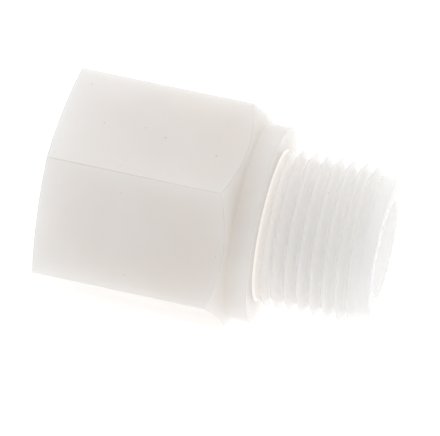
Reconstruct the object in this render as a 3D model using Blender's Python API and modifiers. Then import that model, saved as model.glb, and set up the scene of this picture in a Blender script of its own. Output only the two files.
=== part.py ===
"""Threaded reducing adapter, one-piece white plastic: hexagonal female end, round collar, male spigot.

The flow axis lies along X with the male end at +X. The part rests on one hexagon flat, so Z is up.
The origin is on the flow axis, half-way along the part.
"""
import math

import bmesh
import bpy
from mathutils import Matrix, Vector

MM = 0.001

FULL_TURN = math.radians(360)
QUARTER_TURN = math.radians(90)

# Overall
LENGTH = 34.6 * MM
HALF_LENGTH = LENGTH / 2

# Hexagon, measured from the female end face
ACROSS_FLATS = 22.0 * MM
FLAT_RADIUS = ACROSS_FLATS / 2
HEX_SIDES = 6
CORNER_RADIUS = FLAT_RADIUS / math.cos(FULL_TURN / (2 * HEX_SIDES))
REAR_CHAMFER_SLOPE = 0.155
HEX_FLAT_END = 19.75 * MM
FRONT_CHAMFER_SLOPE = math.tan(math.radians(33))

# Collar behind the male thread
COLLAR_RADIUS = 10.4 * MM
COLLAR_FACE = 22.5 * MM
COLLAR_EDGE = 0.2 * MM

# Female thread, G 1/4, and the seat at its bottom
THREAD_PITCH = 1.337 * MM
FEMALE_MINOR_RADIUS = 11.445 / 2 * MM
FEMALE_MAJOR_RADIUS = 13.157 / 2 * MM
SOCKET_DEPTH = 12.5 * MM
FEMALE_THREAD_DEPTH = 10.4 * MM
MOUTH_RADIUS = 7.0 * MM
SEAT_SLOPE = 0.6
GROOVE_HALF_ROOT = 0.42 * THREAD_PITCH
GROOVE_HALF_CREST = 0.08 * THREAD_PITCH
GROOVE_RUN_IN = 1.2 * THREAD_PITCH

# Flow bore and the counterbore that takes the spigot's plain tail
BORE_RADIUS = 4.9 * MM
JOINT_GAP = 0.3 * MM
TAIL_RADIUS = 8.0 * MM
TAIL_START = 15.5 * MM
TAIL_TAPER = 0.3 * MM
FACET_ALLOWANCE = 0.05 * MM
TAIL_BORE_RADIUS = TAIL_RADIUS + JOINT_GAP + FACET_ALLOWANCE
TAIL_BORE_FLOOR = TAIL_START - JOINT_GAP

# Male thread, G 3/8, parallel
MALE_MAJOR_RADIUS = 16.662 / 2 * MM
MALE_MINOR_RADIUS = 14.95 / 2 * MM
NECK_RADIUS = 7.95 * MM
NECK_END = 23.15 * MM
THREAD_START = 23.0 * MM
TIP_CHAMFER_START = 32.35 * MM
PILOT_RADIUS = 7.3 * MM
END_EDGE = 0.3 * MM
BORE_EDGE = 0.2 * MM
CREST_AT_TOP = 28.41 * MM
RIDGE_HALF_ROOT = 0.43 * THREAD_PITCH
RIDGE_HALF_CREST = 0.07 * THREAD_PITCH
ROOT_SLOPE = 0.6
CREST_EXCESS = 0.04 * MM

# Form that trims the male thread: run-in above the neck and run-out over the end chamfer
TRIM_START = COLLAR_FACE + 0.1 * MM
TRIM_NECK_RADIUS = NECK_RADIUS - 0.02 * MM
TRIM_RUN_IN = 0.5 * MM
TRIM_SINK = 0.05 * MM

# Both threads: how far their flanks reach into the wall they grow from
FLANK_SINK = 0.4 * MM
FLANK_SHOULDER = 0.06 * MM

# Round sections
TURN_STEPS = 72
THREAD_STEPS = 40
OVERLAP = 0.5 * MM

# Mesh cleaning and shading
TURN_MERGE = 0.001 * MM
CLEAN_MERGE = 0.002 * MM
SHARP_ANGLE = math.radians(20)

# Plastic
PLASTIC_COLOUR = (0.86, 0.84, 0.81, 1.0)
PLASTIC_ROUGHNESS = 0.42
PLASTIC_IOR = 1.49


def clear_scene():
    for item in list(bpy.data.objects):
        bpy.data.objects.remove(item, do_unlink=True)
    for item in list(bpy.data.collections):
        bpy.data.collections.remove(item)


def new_collection(name, is_cutter=False):
    group = bpy.data.collections.new(name)
    bpy.context.scene.collection.children.link(group)
    group.hide_render = is_cutter
    return group


def new_material(name):
    material = bpy.data.materials.new(name)
    material.use_nodes = True
    shader = material.node_tree.nodes["Principled BSDF"]
    shader.inputs["Base Color"].default_value = PLASTIC_COLOUR
    shader.inputs["Roughness"].default_value = PLASTIC_ROUGHNESS
    shader.inputs["IOR"].default_value = PLASTIC_IOR
    return material


def to_flow_axis(item):
    """Turn a shape built up the Z axis so that it runs along X, starting at the female end face."""
    turn = Matrix.Rotation(QUARTER_TURN, 4, "Y")
    shift = Matrix.Translation(Vector((-HALF_LENGTH, 0, 0)))
    item.data.transform(shift @ turn)
    item.data.update()


def finished_mesh(item):
    """Replace an object's modifiers with the mesh they make."""
    bpy.context.view_layer.update()
    evaluated = item.evaluated_get(bpy.context.evaluated_depsgraph_get())
    result = bpy.data.meshes.new_from_object(evaluated)
    item.modifiers.clear()
    item.data = result
    return item


def turned(name, profile, steps, group):
    """Solid of revolution from (radius, distance) points given from the female end towards the male end."""
    mesh = bpy.data.meshes.new(name)
    work = bmesh.new()
    points = [(0.0, profile[0][1])] + profile + [(0.0, profile[-1][1])]
    corners = [work.verts.new((radius, 0.0, height)) for radius, height in reversed(points)]
    for first, second in zip(corners, corners[1:]):
        work.edges.new((first, second))
    work.to_mesh(mesh)
    work.free()
    item = bpy.data.objects.new(name, mesh)
    group.objects.link(item)
    screw = item.modifiers.new("turn", "SCREW")
    screw.axis = "Z"
    screw.angle = FULL_TURN
    screw.steps = steps
    screw.render_steps = steps
    screw.use_merge_vertices = True
    screw.merge_threshold = TURN_MERGE
    finished_mesh(item)
    to_flow_axis(item)
    return item


def hexagon(name, start, end, group):
    """Hexagonal prism with two flats facing up and down."""
    mesh = bpy.data.meshes.new(name)
    work = bmesh.new()
    bmesh.ops.create_cone(work, cap_ends=True, segments=HEX_SIDES, radius1=CORNER_RADIUS,
                          radius2=CORNER_RADIUS, depth=end - start)
    bmesh.ops.translate(work, verts=work.verts, vec=(0, 0, (start + end) / 2))
    work.to_mesh(mesh)
    work.free()
    item = bpy.data.objects.new(name, mesh)
    group.objects.link(item)
    to_flow_axis(item)
    return item


def helix(name, section, start, turns, start_angle, group):
    """Thread ridge: a section of (radius, height) points swept along a right-hand helix."""
    mesh = bpy.data.meshes.new(name)
    work = bmesh.new()
    corners = [work.verts.new((radius, 0.0, start + height)) for radius, height in section]
    face = work.faces.new(corners)
    start_turn = Matrix.Rotation(start_angle, 3, "Z")
    bmesh.ops.rotate(work, verts=work.verts, cent=(0, 0, 0), matrix=start_turn)
    steps = int(round(turns * THREAD_STEPS))
    bmesh.ops.spin(work, geom=[face] + face.edges[:] + face.verts[:], cent=(0, 0, 0), axis=(0, 0, 1),
                   dvec=(0, 0, THREAD_PITCH / THREAD_STEPS), angle=FULL_TURN * turns, steps=steps,
                   use_duplicate=False)
    bmesh.ops.recalc_face_normals(work, faces=work.faces[:])
    work.to_mesh(mesh)
    work.free()
    item = bpy.data.objects.new(name, mesh)
    group.objects.link(item)
    to_flow_axis(item)
    return item


def combine(item, other, operation):
    step = item.modifiers.new(operation.lower(), "BOOLEAN")
    step.operation = operation
    step.solver = "EXACT"
    step.object = other
    other.display_type = "WIRE"
    other.hide_render = True
    finished_mesh(item)


def finish(item, material):
    item.data.materials.clear()
    item.data.materials.append(material)
    work = bmesh.new()
    work.from_mesh(item.data)
    bmesh.ops.remove_doubles(work, verts=work.verts, dist=CLEAN_MERGE)
    bmesh.ops.dissolve_degenerate(work, dist=CLEAN_MERGE, edges=work.edges)
    work.to_mesh(item.data)
    work.free()
    item.data.shade_smooth()
    item.data.set_sharp_from_angle(angle=SHARP_ANGLE)


def build_socket(parts, cutters, material):
    """Hexagonal female end with the round collar."""
    corner_cut = (CORNER_RADIUS - FLAT_RADIUS) * REAR_CHAMFER_SLOPE
    rise = (CORNER_RADIUS + OVERLAP - FLAT_RADIUS) * FRONT_CHAMFER_SLOPE
    collar_start = HEX_FLAT_END + (FLAT_RADIUS - COLLAR_RADIUS) * FRONT_CHAMFER_SLOPE
    rear_rise = corner_cut * (CORNER_RADIUS + OVERLAP - FLAT_RADIUS) / (CORNER_RADIUS - FLAT_RADIUS)
    outline = [
        (FLAT_RADIUS, 0.0),
        (CORNER_RADIUS + OVERLAP, rear_rise),
        (CORNER_RADIUS + OVERLAP, HEX_FLAT_END - rise),
        (COLLAR_RADIUS, collar_start),
        (COLLAR_RADIUS, COLLAR_FACE - COLLAR_EDGE),
        (COLLAR_RADIUS - COLLAR_EDGE, COLLAR_FACE),
    ]
    body = turned("hex_socket", outline, TURN_STEPS, parts)
    prism = hexagon("hex_form", -OVERLAP, COLLAR_FACE + OVERLAP, cutters)
    combine(body, prism, "INTERSECT")

    core_outline = [
        (MOUTH_RADIUS + OVERLAP, -OVERLAP),
        (FEMALE_MINOR_RADIUS, MOUTH_RADIUS - FEMALE_MINOR_RADIUS),
        (FEMALE_MINOR_RADIUS, SOCKET_DEPTH),
        (BORE_RADIUS, SOCKET_DEPTH + (FEMALE_MINOR_RADIUS - BORE_RADIUS) * SEAT_SLOPE),
        (BORE_RADIUS, TAIL_BORE_FLOOR + OVERLAP),
    ]
    socket_core = turned("socket_form", core_outline, THREAD_STEPS, cutters)
    sunk = FEMALE_MINOR_RADIUS - FLANK_SINK
    shoulder = FEMALE_MINOR_RADIUS - FLANK_SHOULDER
    groove_section = [
        (sunk, -GROOVE_HALF_ROOT),
        (shoulder, -GROOVE_HALF_ROOT),
        (FEMALE_MAJOR_RADIUS, -GROOVE_HALF_CREST),
        (FEMALE_MAJOR_RADIUS, GROOVE_HALF_CREST),
        (shoulder, GROOVE_HALF_ROOT),
        (sunk, GROOVE_HALF_ROOT),
    ]
    turns = (FEMALE_THREAD_DEPTH + GROOVE_RUN_IN) / THREAD_PITCH
    groove = helix("socket_groove_form", groove_section, -THREAD_PITCH, turns, 0.0, cutters)
    combine(socket_core, groove, "UNION")
    combine(body, socket_core, "DIFFERENCE")

    tail_outline = [
        (TAIL_BORE_RADIUS, TAIL_BORE_FLOOR),
        (TAIL_BORE_RADIUS, COLLAR_FACE + OVERLAP),
    ]
    tail_hole = turned("tail_hole_form", tail_outline, TURN_STEPS, cutters)
    combine(body, tail_hole, "DIFFERENCE")
    finish(body, material)


def build_spigot(parts, cutters, material):
    """Threaded male spigot whose plain tail sits in the collar."""
    outline = [
        (TAIL_RADIUS, TAIL_START),
        (TAIL_RADIUS, COLLAR_FACE - TAIL_TAPER),
        (NECK_RADIUS, COLLAR_FACE),
        (NECK_RADIUS, NECK_END),
        (MALE_MINOR_RADIUS, NECK_END + (NECK_RADIUS - MALE_MINOR_RADIUS) * ROOT_SLOPE),
        (MALE_MINOR_RADIUS, TIP_CHAMFER_START + (MALE_MAJOR_RADIUS - MALE_MINOR_RADIUS)),
        (PILOT_RADIUS, TIP_CHAMFER_START + (MALE_MAJOR_RADIUS - PILOT_RADIUS)),
        (PILOT_RADIUS, LENGTH - END_EDGE),
        (PILOT_RADIUS - END_EDGE, LENGTH),
    ]
    body = turned("male_spigot", outline, THREAD_STEPS, parts)
    bore_outline = [
        (BORE_RADIUS, TAIL_START - OVERLAP),
        (BORE_RADIUS, LENGTH - BORE_EDGE),
        (BORE_RADIUS + BORE_EDGE + OVERLAP, LENGTH + OVERLAP),
    ]
    bore = turned("bore_form", bore_outline, THREAD_STEPS, cutters)
    combine(body, bore, "DIFFERENCE")

    sunk = MALE_MINOR_RADIUS - FLANK_SINK
    shoulder = MALE_MINOR_RADIUS - FLANK_SHOULDER
    crest = MALE_MAJOR_RADIUS + CREST_EXCESS
    ridge_section = [
        (sunk, -RIDGE_HALF_ROOT),
        (shoulder, -RIDGE_HALF_ROOT),
        (crest, -RIDGE_HALF_CREST),
        (crest, RIDGE_HALF_CREST),
        (shoulder, RIDGE_HALF_ROOT),
        (sunk, RIDGE_HALF_ROOT),
    ]
    turns_before_top = math.ceil((CREST_AT_TOP - THREAD_START) / THREAD_PITCH)
    ridge_start = CREST_AT_TOP - turns_before_top * THREAD_PITCH
    turns = (TIP_CHAMFER_START + MALE_MAJOR_RADIUS - MALE_MINOR_RADIUS - ridge_start) / THREAD_PITCH
    ridge = helix("thread_form", ridge_section, ridge_start, turns, FULL_TURN / 2, cutters)
    envelope_outline = [
        (TRIM_NECK_RADIUS, TRIM_START),
        (TRIM_NECK_RADIUS, NECK_END),
        (MALE_MAJOR_RADIUS, NECK_END + TRIM_RUN_IN),
        (MALE_MAJOR_RADIUS, TIP_CHAMFER_START),
        (PILOT_RADIUS - TRIM_SINK, TIP_CHAMFER_START + MALE_MAJOR_RADIUS - PILOT_RADIUS + TRIM_SINK),
    ]
    envelope = turned("thread_envelope", envelope_outline, THREAD_STEPS, cutters)
    combine(ridge, envelope, "INTERSECT")
    combine(body, ridge, "UNION")
    finish(body, material)


def build():
    clear_scene()
    parts = new_collection("threaded_reducing_adapter")
    cutters = new_collection("forms", is_cutter=True)
    build_socket(parts, cutters, new_material("socket_plastic"))
    build_spigot(parts, cutters, new_material("spigot_plastic"))


build()
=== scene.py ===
"""Threaded reducing adapter, turned from natural white plastic, lying on a bright white table.

The flow axis runs along X with the male end at +X, and the part lies on one flat of its hexagon.
Sizes are in metres. Places along the axis are counted from the female end face.
"""
import math

import bmesh
import bpy
import numpy as np
from mathutils import Matrix, Vector


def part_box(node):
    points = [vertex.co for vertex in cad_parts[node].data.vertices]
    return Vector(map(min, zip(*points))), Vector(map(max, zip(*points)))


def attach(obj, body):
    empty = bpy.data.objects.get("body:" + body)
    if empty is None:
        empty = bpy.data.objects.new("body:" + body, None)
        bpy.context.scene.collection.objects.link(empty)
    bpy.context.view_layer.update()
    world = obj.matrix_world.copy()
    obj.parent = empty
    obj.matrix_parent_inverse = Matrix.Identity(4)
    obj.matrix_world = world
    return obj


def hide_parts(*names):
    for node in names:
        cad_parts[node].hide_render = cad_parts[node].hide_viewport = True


MM = 0.001

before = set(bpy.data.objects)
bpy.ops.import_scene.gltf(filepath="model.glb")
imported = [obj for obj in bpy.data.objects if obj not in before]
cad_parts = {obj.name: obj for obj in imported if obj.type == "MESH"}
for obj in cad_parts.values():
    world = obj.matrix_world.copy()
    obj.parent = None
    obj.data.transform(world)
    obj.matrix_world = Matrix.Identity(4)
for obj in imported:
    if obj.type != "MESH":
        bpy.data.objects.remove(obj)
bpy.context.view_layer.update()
socket_low, socket_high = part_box("hex_socket")
spigot_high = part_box("male_spigot")[1]

# Places taken from the frame
FEMALE_END = socket_low.x
COLLAR_FACE = socket_high.x
MALE_END = spigot_high.x
FLAT_RADIUS = socket_high.z

# Hexagon and collar
HEX_SIDES = 6
SIDE_ANGLE = math.radians(60)
HALF_SIDE = math.radians(30)
TOP = math.radians(90)
HEX_EDGE_ROUNDING = 0.14 * MM
REAR_CROWN_SLOPE = 0.155
REAR_CROWN_START = FLAT_RADIUS - 0.5 * MM
REAR_EDGE_ROUNDING = 0.12 * MM
HALF_FLAT = (FLAT_RADIUS - HEX_EDGE_ROUNDING) * math.tan(HALF_SIDE)
HEX_FLAT_LENGTH = 19.75 * MM
FRONT_CHAMFER_SLOPE = math.tan(math.radians(33))
FRONT_EDGE_ROUNDING = 0.15 * MM
CONE_FOOT_FILLET = 0.4 * MM
COLLAR_RADIUS = 10.4 * MM
COLLAR_EDGE_ROUNDING = 0.12 * MM
EDGE_LINE = 0.15 * MM

# Threads: Whitworth form, 55 degrees, rounded crests and roots
PITCH = 1.337 * MM
HALF_THREAD_ANGLE = math.radians(27.5)
THREAD_ROUNDING = 0.137329 * PITCH
THREAD_HEIGHT = 0.640327 * PITCH
MALE_MAJOR_RADIUS = 16.6 / 2 * MM
FEMALE_MAJOR_RADIUS = 13.2 / 2 * MM
FEMALE_MINOR_RADIUS = FEMALE_MAJOR_RADIUS - THREAD_HEIGHT
CREST_AT_TOP = 28.41 * MM
FEMALE_CREST_SHIFT = 0.3 * PITCH
THREAD_BLEND = 0.05 * MM

# Spigot
NECK_RADIUS = 7.9 * MM
NECK_FOOT_RADIUS = 8.1 * MM
NECK_LENGTH = 0.72 * MM
NECK_FOOT_FILLET = 0.1 * MM
NECK_BLEND = 0.06 * MM
RUN_OUT_RISE = 1.1
RUN_OUT_FALL = 1.3
TIP_CHAMFER_START = 32.3 * MM
PILOT_RADIUS = 7.3 * MM
PILOT_BLEND = 0.08 * MM
END_EDGE_ROUNDING = 0.25 * MM
BORE_RADIUS = 4.9 * MM
BORE_EDGE_ROUNDING = 0.2 * MM

# Socket
MOUTH_RADIUS = 7.0 * MM
MOUTH_EDGE_ROUNDING = 0.06 * MM
SOCKET_DEPTH = 12.5 * MM
SEAT_RISE = 0.4 * MM
SEAT_ROUNDING = 0.1 * MM
FEMALE_THREAD_END = 10.3 * MM
FEMALE_THREAD_FADE = 1.0 * MM
THREAD_MARGIN = 0.2 * MM
JOINT_CLEARANCE = 0.01 * MM

# Mesh: columns round the axis, steps in a rounded corner and rows in a thread
FLAT_COLUMNS = 22
EDGE_COLUMNS = 4
SPIGOT_COLUMNS = 168
ARC_STEPS = 5
ROWS_PER_PITCH = 26
NEAR_RING = 0.35
SHARP_ANGLE = math.radians(35)


def hexagon_columns():
    """Angles about the flow axis, closer together at the six rounded edges."""
    arc_start = math.atan(HALF_FLAT / FLAT_RADIUS)
    across_flat = np.linspace(-arc_start, arc_start, FLAT_COLUMNS)
    round_edge = np.linspace(arc_start, SIDE_ANGLE - arc_start, 2 * EDGE_COLUMNS + 1)[1:-1]
    one_side = np.concatenate([across_flat, round_edge])
    return np.concatenate([one_side + TOP + SIDE_ANGLE * side for side in range(HEX_SIDES)])


def hexagon_radius(angles):
    """Distance from the axis to the hexagon with rounded edges, for angles measured from +Y towards +Z."""
    from_flat = (angles - TOP + HALF_SIDE) % SIDE_ANGLE - HALF_SIDE
    radius = FLAT_RADIUS / np.cos(from_flat)
    centre = (FLAT_RADIUS - HEX_EDGE_ROUNDING) / math.cos(HALF_SIDE)
    from_edge = HALF_SIDE - np.abs(from_flat)
    reach = np.maximum(HEX_EDGE_ROUNDING ** 2 - (centre * np.sin(from_edge)) ** 2, 0)
    round_radius = centre * np.cos(from_edge) + np.sqrt(reach)
    return np.where(FLAT_RADIUS * np.tan(np.abs(from_flat)) > HALF_FLAT, round_radius, radius)


def rounded_path(corners):
    """Points along a path of (along, radius, rounding) corners whose corners are arcs of that rounding."""
    path = []
    for index, (along, radius, rounding) in enumerate(corners):
        here = np.array([along, radius])
        if rounding == 0:
            path.append(here)
            continue
        before = np.array(corners[index - 1][:2]) - here
        after = np.array(corners[index + 1][:2]) - here
        before /= np.linalg.norm(before)
        after /= np.linalg.norm(after)
        half_angle = math.acos(np.clip(before @ after, -1, 1)) / 2
        bisector = (before + after) / np.linalg.norm(before + after)
        centre = here + bisector * rounding / math.sin(half_angle)
        tangent = rounding / math.tan(half_angle)
        start = here + before * tangent - centre
        sweep = math.pi - 2 * half_angle
        turn = math.copysign(1, before[0] * after[1] - before[1] * after[0])
        for step in range(ARC_STEPS + 1):
            angle = -turn * sweep * step / ARC_STEPS
            spin = np.array([[math.cos(angle), -math.sin(angle)], [math.sin(angle), math.cos(angle)]])
            path.append(centre + spin @ start)
    return path


class Skin:
    """A closed surface built from rings of points about the flow axis."""

    def __init__(self, angles):
        self.angles = angles
        self.points = []
        self.faces = []

    def add(self, along, radius, column):
        angle = self.angles[column]
        self.points.append((FEMALE_END + along, radius * math.cos(angle), radius * math.sin(angle)))
        return len(self.points) - 1

    def rings(self, paths):
        """Rings through the paths, one path for each column."""
        count = len(paths[0])
        rings = [[self.add(*paths[column][row], column) for column in range(len(self.angles))]
                 for row in range(count)]
        for first, second in zip(rings, rings[1:]):
            self.band(first, second)
        return rings[0], rings[-1]

    def band(self, first, second):
        for column in range(len(first)):
            after = (column + 1) % len(first)
            self.faces.append((first[column], first[after], second[after], second[column]))

    def thread(self, first, second, start, end, radius_at):
        """Joins two rings with a surface whose rows follow the helix; rows are cut off at both rings."""
        columns = len(self.angles)
        spacing = PITCH / ROWS_PER_PITCH
        rows = range(-ROWS_PER_PITCH, int((end - start) / spacing) + 2)
        lead = (self.angles - self.angles[0]) % (2 * math.pi) / (2 * math.pi) * PITCH
        grid = {}

        def point(column, row):
            along = start + row * spacing + lead[column]
            if along < start + NEAR_RING * spacing:
                return first[column]
            if along > end - NEAR_RING * spacing:
                return second[column]
            if (column, row) not in grid:
                radius = radius_at(along, self.angles[column])
                grid[column, row] = self.add(along, radius, column)
            return grid[column, row]

        for column in range(columns):
            after = (column + 1) % columns
            step = ROWS_PER_PITCH if after == 0 else 0
            for row in rows:
                corners = [point(column, row), point(after, row + step), point(after, row + step + 1),
                           point(column, row + 1)]
                face = list(dict.fromkeys(corners))
                if len(face) > 2:
                    self.faces.append(tuple(face))

    def build(self, name):
        mesh = bpy.data.meshes.new(name)
        mesh.from_pydata(self.points, [], self.faces)
        work = bmesh.new()
        work.from_mesh(mesh)
        bmesh.ops.recalc_face_normals(work, faces=work.faces)
        work.to_mesh(mesh)
        work.free()
        mesh.shade_smooth()
        mesh.set_sharp_from_angle(angle=SHARP_ANGLE)
        item = bpy.data.objects.new(name, mesh)
        bpy.context.scene.collection.objects.link(item)
        return item


def thread_depth(along, angle, crest_at_top):
    """Depth below the crest of a right-hand thread at a place on the axis and an angle about it."""
    crest = crest_at_top + (angle - math.pi / 2) / (2 * math.pi) * PITCH
    offset = abs((along - crest + PITCH / 2) % PITCH - PITCH / 2)
    arc_width = THREAD_ROUNDING * math.cos(HALF_THREAD_ANGLE)
    if offset < arc_width:
        return THREAD_ROUNDING - math.sqrt(THREAD_ROUNDING ** 2 - offset ** 2)
    from_root = PITCH / 2 - offset
    if from_root < arc_width:
        return THREAD_HEIGHT - THREAD_ROUNDING + math.sqrt(THREAD_ROUNDING ** 2 - from_root ** 2)
    arc_depth = THREAD_ROUNDING * (1 - math.sin(HALF_THREAD_ANGLE))
    return arc_depth + (offset - arc_width) / math.tan(HALF_THREAD_ANGLE)


def smooth_lower(first, second, blend):
    """The lower of two values, rounded over where they cross."""
    share = min(max(0.5 + 0.5 * (second - first) / blend, 0), 1)
    return second + (first - second) * share - blend * share * (1 - share)


def smooth_higher(first, second, blend):
    """The higher of two values, rounded over where they cross."""
    return -smooth_lower(-first, -second, blend)


def male_radius(along, angle):
    """Outside of the spigot: neck, thread with its run-out, lead-in chamfer and pilot."""
    collar = COLLAR_FACE - FEMALE_END
    past_neck = along - collar - NECK_LENGTH
    radius = MALE_MAJOR_RADIUS - thread_depth(along, angle, CREST_AT_TOP)
    radius = smooth_lower(radius, NECK_RADIUS + RUN_OUT_RISE * past_neck, THREAD_BLEND)
    radius = smooth_higher(radius, NECK_RADIUS - max(past_neck, 0) * RUN_OUT_FALL, NECK_BLEND)
    radius = smooth_lower(radius, MALE_MAJOR_RADIUS - (along - TIP_CHAMFER_START), THREAD_BLEND)
    return smooth_higher(radius, PILOT_RADIUS, PILOT_BLEND)


def female_radius(along, angle):
    """Inside of the socket: countersunk mouth, thread and its run-out."""
    depth = thread_depth(along, angle, CREST_AT_TOP + FEMALE_CREST_SHIFT)
    fade = min(max((FEMALE_THREAD_END + FEMALE_THREAD_FADE - along) / FEMALE_THREAD_FADE, 0), 1)
    radius = FEMALE_MINOR_RADIUS + (THREAD_HEIGHT - depth) * fade
    return smooth_higher(radius, MOUTH_RADIUS - along, THREAD_BLEND)


def build_socket():
    """Hexagon, collar and female thread."""
    angles = hexagon_columns()
    skin = Skin(angles)
    collar = COLLAR_FACE - FEMALE_END
    thread_start = THREAD_MARGIN
    thread_end = FEMALE_THREAD_END + FEMALE_THREAD_FADE + THREAD_MARGIN
    cone_end = HEX_FLAT_LENGTH + (FLAT_RADIUS - COLLAR_RADIUS) * FRONT_CHAMFER_SLOPE
    paths = []
    for radius in hexagon_radius(angles):
        beyond = radius - FLAT_RADIUS
        corners = [
            (thread_start, MOUTH_RADIUS - thread_start, 0),
            (0.0, MOUTH_RADIUS, MOUTH_EDGE_ROUNDING),
            (0.0, REAR_CROWN_START, 0),
            (beyond * REAR_CROWN_SLOPE, radius, REAR_EDGE_ROUNDING),
            (HEX_FLAT_LENGTH - beyond * FRONT_CHAMFER_SLOPE, radius, FRONT_EDGE_ROUNDING),
            (cone_end, COLLAR_RADIUS, CONE_FOOT_FILLET),
            (collar, COLLAR_RADIUS, COLLAR_EDGE_ROUNDING),
            (collar, NECK_FOOT_RADIUS, 0),
            (collar, BORE_RADIUS, 0),
            (SOCKET_DEPTH + SEAT_RISE, BORE_RADIUS, SEAT_ROUNDING),
            (SOCKET_DEPTH, FEMALE_MINOR_RADIUS, SEAT_ROUNDING),
            (thread_end, FEMALE_MINOR_RADIUS, 0),
        ]
        paths.append(rounded_path(corners))
    mouth, inner = skin.rings(paths)
    skin.thread(mouth, inner, thread_start, thread_end, female_radius)
    return skin.build("hex_socket_turned")


def build_spigot():
    """Neck, male thread, pilot and flow bore, from the collar face to the male end."""
    angles = np.linspace(0, 2 * math.pi, SPIGOT_COLUMNS, endpoint=False)
    skin = Skin(angles)
    length = MALE_END - FEMALE_END
    joint = COLLAR_FACE - FEMALE_END + JOINT_CLEARANCE
    thread_start = COLLAR_FACE - FEMALE_END + 0.5 * NECK_LENGTH
    thread_end = TIP_CHAMFER_START + (MALE_MAJOR_RADIUS - PILOT_RADIUS) + THREAD_MARGIN
    corners = [
        (thread_end, PILOT_RADIUS, 0),
        (length, PILOT_RADIUS, END_EDGE_ROUNDING),
        (length, BORE_RADIUS, BORE_EDGE_ROUNDING),
        (joint, BORE_RADIUS, 0),
        (joint, NECK_FOOT_RADIUS, 0),
        (joint + NECK_FOOT_RADIUS - NECK_RADIUS, NECK_RADIUS, NECK_FOOT_FILLET),
        (thread_start, NECK_RADIUS, 0),
    ]
    path = rounded_path(corners)
    tip, neck = skin.rings([path] * len(angles))
    skin.thread(neck, tip, thread_start, thread_end, male_radius)
    return skin.build("male_spigot_turned")


# How far light travels inside the plastic: usual, and in the thin wall round the bore
SCATTER_LENGTH = 0.008
BORE_SCATTER_LENGTH = 0.02
SCATTER_BY_COLOUR = (1.0, 0.93, 0.84)
REFRACTIVE_INDEX = 1.49
SURFACE_REFLECTION = 0.5

# Plastic: darker and lighter base colour, scatter length, and the painted shade for the thick wall, which
# darkens the base colour towards the collar
THICK_WALL_PAINTED_SHADE = (0.935, 0.925, 0.915, 1)
THICKEST_WALL_PAINTED_SHADE = (0.918, 0.91, 0.9, 1)
NO_WALL_SHADE = (1.0, 1.0, 1.0, 1)
BODY_PLASTIC = ((0.888, 0.842, 0.812, 1), (0.908, 0.867, 0.839, 1), SCATTER_LENGTH, THICK_WALL_PAINTED_SHADE)
# Painted shade: the turned faces, collar and cone included, get a darker base colour than the body
COLLAR_PLASTIC_PAINTED_SHADE = ((0.876, 0.834, 0.8, 1), (0.896, 0.859, 0.827, 1), SCATTER_LENGTH, THICKEST_WALL_PAINTED_SHADE)
# Painted shade: a thin dark line along the rounded edges
EDGE_PLASTIC_PAINTED_SHADE = ((0.73, 0.67, 0.62, 1), (0.79, 0.73, 0.68, 1), SCATTER_LENGTH)
# Painted light: the thread and tip get lighter base colours than the body, for the light their thin walls
# let through
THREAD_PLASTIC_PAINTED_LIGHT = ((0.987, 0.938, 0.89, 1), (0.997, 0.953, 0.905, 1), SCATTER_LENGTH)
TIP_PLASTIC_PAINTED_LIGHT = ((0.965, 0.905, 0.87, 1), (0.975, 0.92, 0.885, 1), SCATTER_LENGTH)
# Painted shade: the neck in the corner beside the collar gets a darker base colour
NECK_PLASTIC_PAINTED_SHADE = ((0.835, 0.795, 0.76, 1), (0.855, 0.815, 0.78, 1), SCATTER_LENGTH)
# Painted light: the bore and end face get an almost white base colour
BORED_PLASTIC_PAINTED_LIGHT = ((0.99, 0.982, 0.975, 1), (0.997, 0.992, 0.986, 1), BORE_SCATTER_LENGTH)

# Tool marks: how many to the metre along X, Y and Z, their detail, and how strongly they show
DRAWN_MARKS = (150.0, 4200.0, 4200.0)
TURNED_MARKS = (6500.0, 150.0, 150.0)
MARK_DETAIL = 4.0
MARK_ROUGHNESS = 0.6
MARK_STRENGTH = 0.25
MARK_DEPTH = 0.02 * MM

# Light on the hidden faces of the joint
SOCKET_JOINT_LIGHT = (1.0, 0.95, 0.9, 1)
SPIGOT_JOINT_LIGHT = (0.45, 0.42, 0.39, 1)

# Cloudiness of colour and gloss
CLOUD_SCALE = 180.0
CLOUD_DETAIL = 3.0
CLOUD_ROUGHNESS = 0.5
CLOUD_DARK = 0.3
CLOUD_LIGHT = 0.7
SMOOTHEST = 0.16
ROUGHEST = 0.25

# Specks
SPECK_SCALE = 1400.0
SPECK_DETAIL = 1.0
SPECK_ROUGHNESS = 0.4
SPECK_LIMIT = 0.79
SPECK_FADE = 0.04
SPECK_STRENGTH = 0.35
SPECK_COLOUR = (0.42, 0.37, 0.33, 1)


def node(tree, kind, **values):
    """New shader node with properties, and inputs given as in_NAME."""
    item = tree.nodes.new(kind)
    for name, value in values.items():
        if name.startswith("in_"):
            item.inputs[name[3:].replace("_", " ")].default_value = value
        else:
            setattr(item, name, value)
    return item


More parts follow.
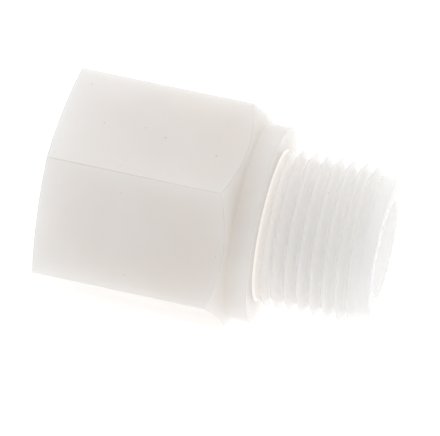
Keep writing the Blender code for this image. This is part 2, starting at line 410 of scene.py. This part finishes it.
def natural_plastic(name, streak_scale, colour_low, colour_high, scatter_length, wall_shade_tint=NO_WALL_SHADE):
    """Milky, slightly warm plastic that light enters, with cloudy colour, tool marks, a few specks, and
    painted shade darkening it towards the collar where a wall tint is given.
    """
    material = bpy.data.materials.new(name)
    material.use_nodes = True
    tree = material.node_tree
    link = tree.links.new
    shader = tree.nodes["Principled BSDF"]
    shader.inputs["Subsurface Weight"].default_value = 1.0
    shader.inputs["Subsurface Radius"].default_value = SCATTER_BY_COLOUR
    shader.inputs["Subsurface Scale"].default_value = scatter_length
    shader.inputs["IOR"].default_value = REFRACTIVE_INDEX
    shader.inputs["Specular IOR Level"].default_value = SURFACE_REFLECTION

    place = node(tree, "ShaderNodeTexCoord")
    cloud = node(tree, "ShaderNodeTexNoise", in_Scale=CLOUD_SCALE, in_Detail=CLOUD_DETAIL,
                 in_Roughness=CLOUD_ROUGHNESS)
    link(place.outputs["Object"], cloud.inputs["Vector"])
    tint = node(tree, "ShaderNodeValToRGB")
    tint.color_ramp.elements[0].position = CLOUD_DARK
    tint.color_ramp.elements[0].color = colour_low
    tint.color_ramp.elements[1].position = CLOUD_LIGHT
    tint.color_ramp.elements[1].color = colour_high
    link(cloud.outputs["Fac"], tint.inputs["Fac"])

    along = node(tree, "ShaderNodeSeparateXYZ")
    link(place.outputs["Object"], along.inputs["Vector"])
    # Painted shade: from the female end to the end of the hexagon flats, the base colour is multiplied
    # more and more by the darker wall tint
    wall_shade_factor = node(tree, "ShaderNodeMapRange", in_From_Min=FEMALE_END,
                in_From_Max=FEMALE_END + HEX_FLAT_LENGTH)
    link(along.outputs["X"], wall_shade_factor.inputs["Value"])
    wall_shade_mix = node(tree, "ShaderNodeMix", data_type="RGBA", blend_type="MULTIPLY")
    wall_shade_mix.inputs["B"].default_value = wall_shade_tint
    link(wall_shade_factor.outputs["Result"], wall_shade_mix.inputs["Factor"])

    dust = node(tree, "ShaderNodeTexNoise", in_Scale=SPECK_SCALE, in_Detail=SPECK_DETAIL,
                in_Roughness=SPECK_ROUGHNESS)
    link(place.outputs["Object"], dust.inputs["Vector"])
    speck = node(tree, "ShaderNodeMapRange", in_From_Min=SPECK_LIMIT,
                 in_From_Max=SPECK_LIMIT + SPECK_FADE, in_To_Max=SPECK_STRENGTH)
    link(dust.outputs["Fac"], speck.inputs["Value"])
    colour = node(tree, "ShaderNodeMix", data_type="RGBA")
    colour.inputs["B"].default_value = SPECK_COLOUR
    link(speck.outputs["Result"], colour.inputs["Factor"])
    link(tint.outputs["Color"], wall_shade_mix.inputs["A"])
    link(wall_shade_mix.outputs["Result"], colour.inputs["A"])
    link(colour.outputs["Result"], shader.inputs["Base Color"])

    gloss = node(tree, "ShaderNodeMapRange", in_To_Min=SMOOTHEST, in_To_Max=ROUGHEST)
    link(cloud.outputs["Fac"], gloss.inputs["Value"])
    link(gloss.outputs["Result"], shader.inputs["Roughness"])

    stretch = node(tree, "ShaderNodeMapping")
    stretch.inputs["Scale"].default_value = streak_scale
    link(place.outputs["Object"], stretch.inputs["Vector"])
    marks = node(tree, "ShaderNodeTexNoise", in_Scale=1.0, in_Detail=MARK_DETAIL,
                 in_Roughness=MARK_ROUGHNESS)
    link(stretch.outputs["Vector"], marks.inputs["Vector"])
    bump = node(tree, "ShaderNodeBump", in_Strength=MARK_STRENGTH, in_Distance=MARK_DEPTH)
    link(marks.outputs["Fac"], bump.inputs["Height"])
    link(bump.outputs["Normal"], shader.inputs["Normal"])
    return material


def joint_light(name, colour):
    """A hidden face of the joint that carries on the light which undivided plastic would hold."""
    material = bpy.data.materials.new(name)
    material.use_nodes = True
    shader = material.node_tree.nodes["Principled BSDF"]
    shader.inputs["Base Color"].default_value = (0, 0, 0, 1)
    shader.inputs["Specular IOR Level"].default_value = 0
    shader.inputs["Emission Color"].default_value = colour
    shader.inputs["Emission Strength"].default_value = 1.0
    return material


# Limits on how far a face looks along the axis, and how far past a radius still counts as on it
END_FACING = 0.9
ROUNDED_OVER = (0.12, 0.8)
ALONG_AXIS = 0.2
ON_BORE = 1.02
ABOVE_COLLAR = 3 * EDGE_LINE


def surface_kind(middle, normal):
    """Which sort of surface a face belongs to."""
    radius = math.hypot(middle.y, middle.z)
    if radius < NECK_FOOT_RADIUS and abs(middle.x - COLLAR_FACE) < 2 * JOINT_CLEARANCE:
        return "joint"
    if middle.x > COLLAR_FACE:
        if radius < BORE_RADIUS * ON_BORE or normal.x > END_FACING:
            return "bored"
        if middle.x > FEMALE_END + TIP_CHAMFER_START:
            return "tip"
        return "neck" if middle.x < COLLAR_FACE + NECK_LENGTH else "thread"
    if radius < COLLAR_RADIUS - EDGE_LINE:
        return "turned"
    on_hexagon = radius > COLLAR_RADIUS + ABOVE_COLLAR
    from_flat = (math.atan2(middle.z, middle.y) - SIDE_ANGLE) % SIDE_ANGLE - HALF_SIDE
    past_flat = FLAT_RADIUS * math.tan(abs(from_flat)) > HALF_FLAT
    rounded_over = ROUNDED_OVER[0] < abs(normal.x) < ROUNDED_OVER[1]
    # Rounded-over faces at the hexagon and collar edges get the edge plastic, painted darker as shade
    if on_hexagon and (rounded_over or past_flat and abs(normal.x) < ROUNDED_OVER[1]):
        return "edge"
    if rounded_over and middle.x > COLLAR_FACE - EDGE_LINE:
        return "edge"
    return "drawn" if on_hexagon and abs(normal.x) < ALONG_AXIS else "turned"


def dress(item, materials):
    """Gives each face the material of its sort of surface."""
    kinds = list(materials)
    for material in materials.values():
        item.data.materials.append(material)
    for face in item.data.polygons:
        face.material_index = kinds.index(surface_kind(face.center, face.normal))


def build_part():
    """Both pieces, dressed and joined to the frame."""
    socket = build_socket()
    spigot = build_spigot()
    dress(socket, {
        "drawn": natural_plastic("drawn_plastic_painted_shade", DRAWN_MARKS, *BODY_PLASTIC),
        "turned": natural_plastic("collar_plastic_painted_shade", TURNED_MARKS, *COLLAR_PLASTIC_PAINTED_SHADE),
        "edge": natural_plastic("edge_plastic_painted_shade", TURNED_MARKS, *EDGE_PLASTIC_PAINTED_SHADE),
        "joint": joint_light("socket_joint_light", SOCKET_JOINT_LIGHT),
    })
    dress(spigot, {
        "thread": natural_plastic("thread_plastic_painted_light", TURNED_MARKS, *THREAD_PLASTIC_PAINTED_LIGHT),
        "tip": natural_plastic("tip_plastic_painted_light", TURNED_MARKS, *TIP_PLASTIC_PAINTED_LIGHT),
        "neck": natural_plastic("neck_plastic_painted_shade", TURNED_MARKS, *NECK_PLASTIC_PAINTED_SHADE),
        "bored": natural_plastic("bored_plastic_painted_light", TURNED_MARKS, *BORED_PLASTIC_PAINTED_LIGHT),
        "joint": joint_light("spigot_joint_light", SPIGOT_JOINT_LIGHT),
    })
    for item, cad_node, slot in ((socket, "hex_socket", "socket_plastic"),
                                 (spigot, "male_spigot", "spigot_plastic")):
        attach(item, "root")
        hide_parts(cad_node)


# Camera
CAMERA_AZIMUTH = math.radians(14.94)
CAMERA_ELEVATION = math.radians(49.65)
CAMERA_ROLL = math.radians(0.50)
CAMERA_DISTANCE = 0.4576
CAMERA_LENS = 359.97
SENSOR_WIDTH = 36.0
NEAREST_SEEN = 0.01
FARTHEST_SEEN = 20.0
AIM_ALONG = 17.0 * MM
AIM_RIGHT = -0.117 * MM
AIM_UP = -0.345 * MM


def build_camera():
    """Long lens looking down at the part from the front, a little to the right."""
    data = bpy.data.cameras.new("camera")
    data.lens = CAMERA_LENS
    data.sensor_width = SENSOR_WIDTH
    data.clip_start = NEAREST_SEEN
    data.clip_end = FARTHEST_SEEN
    camera = bpy.data.objects.new("camera", data)
    bpy.context.scene.collection.objects.link(camera)
    back = Vector((math.sin(CAMERA_AZIMUTH) * math.cos(CAMERA_ELEVATION),
                   -math.cos(CAMERA_AZIMUTH) * math.cos(CAMERA_ELEVATION),
                   math.sin(CAMERA_ELEVATION)))
    level_right = Vector((math.cos(CAMERA_AZIMUTH), math.sin(CAMERA_AZIMUTH), 0))
    level_up = back.cross(level_right)
    right = level_right * math.cos(CAMERA_ROLL) + level_up * math.sin(CAMERA_ROLL)
    up = level_up * math.cos(CAMERA_ROLL) - level_right * math.sin(CAMERA_ROLL)
    aim = Vector((FEMALE_END + AIM_ALONG, 0, 0)) + right * AIM_RIGHT + up * AIM_UP
    place = aim + back * CAMERA_DISTANCE
    camera.matrix_world = Matrix((
        (right.x, up.x, back.x, place.x),
        (right.y, up.y, back.y, place.y),
        (right.z, up.z, back.z, place.z),
        (0, 0, 0, 1),
    ))
    bpy.context.scene.camera = camera


# Room: pale all round, with a soft light overhead and another behind the part
TABLE_HALF_SIZE = 1.5
TABLE_GLOW = 1.155
ROOM_GLOW = 0.52
SOFT_LIGHTS = ((0.62, (0.0, 0.0, 1.0)), (0.8, (0.0, 0.94, 0.342)))
SOFT_LIGHT_FALLOFF = 4.0
LIGHT_BOUNCES = 8


def build_studio():
    """Bright white table in a pale room with two broad soft lights."""
    mesh = bpy.data.meshes.new("table")
    work = bmesh.new()
    bmesh.ops.create_grid(work, x_segments=1, y_segments=1, size=TABLE_HALF_SIZE)
    bmesh.ops.translate(work, verts=work.verts, vec=(0, 0, socket_low.z))
    work.to_mesh(mesh)
    work.free()
    table = bpy.data.objects.new("table", mesh)
    bpy.context.scene.collection.objects.link(table)
    material = bpy.data.materials.new("table_white")
    material.use_nodes = True
    shader = material.node_tree.nodes["Principled BSDF"]
    shader.inputs["Base Color"].default_value = (0, 0, 0, 1)
    shader.inputs["Specular IOR Level"].default_value = 0
    shader.inputs["Roughness"].default_value = 1
    shader.inputs["Emission Color"].default_value = (1, 1, 1, 1)
    shader.inputs["Emission Strength"].default_value = TABLE_GLOW
    mesh.materials.append(material)

    world = bpy.data.worlds.new("studio")
    world.use_nodes = True
    tree = world.node_tree
    background = tree.nodes["Background"]
    background.inputs["Color"].default_value = (1, 1, 1, 1)
    direction = node(tree, "ShaderNodeTexCoord").outputs["Generated"]
    total = None
    for strength, towards in SOFT_LIGHTS:
        facing = node(tree, "ShaderNodeVectorMath", operation="DOT_PRODUCT")
        facing.inputs[1].default_value = towards
        tree.links.new(direction, facing.inputs[0])
        lit_side = node(tree, "ShaderNodeMath", operation="MAXIMUM")
        lit_side.inputs[1].default_value = 0.0
        tree.links.new(facing.outputs["Value"], lit_side.inputs[0])
        spread = node(tree, "ShaderNodeMath", operation="POWER")
        spread.inputs[1].default_value = SOFT_LIGHT_FALLOFF
        tree.links.new(lit_side.outputs["Value"], spread.inputs[0])
        amount = node(tree, "ShaderNodeMath", operation="MULTIPLY_ADD")
        amount.inputs[1].default_value = strength
        amount.inputs[2].default_value = ROOM_GLOW
        tree.links.new(spread.outputs["Value"], amount.inputs[0])
        if total:
            tree.links.new(total, amount.inputs[2])
        total = amount.outputs["Value"]
    tree.links.new(total, background.inputs["Strength"])
    bpy.context.scene.world = world


build_part()
build_camera()
build_studio()
bpy.context.scene.view_settings.view_transform = "Standard"
bpy.context.scene.cycles.diffuse_bounces = LIGHT_BOUNCES
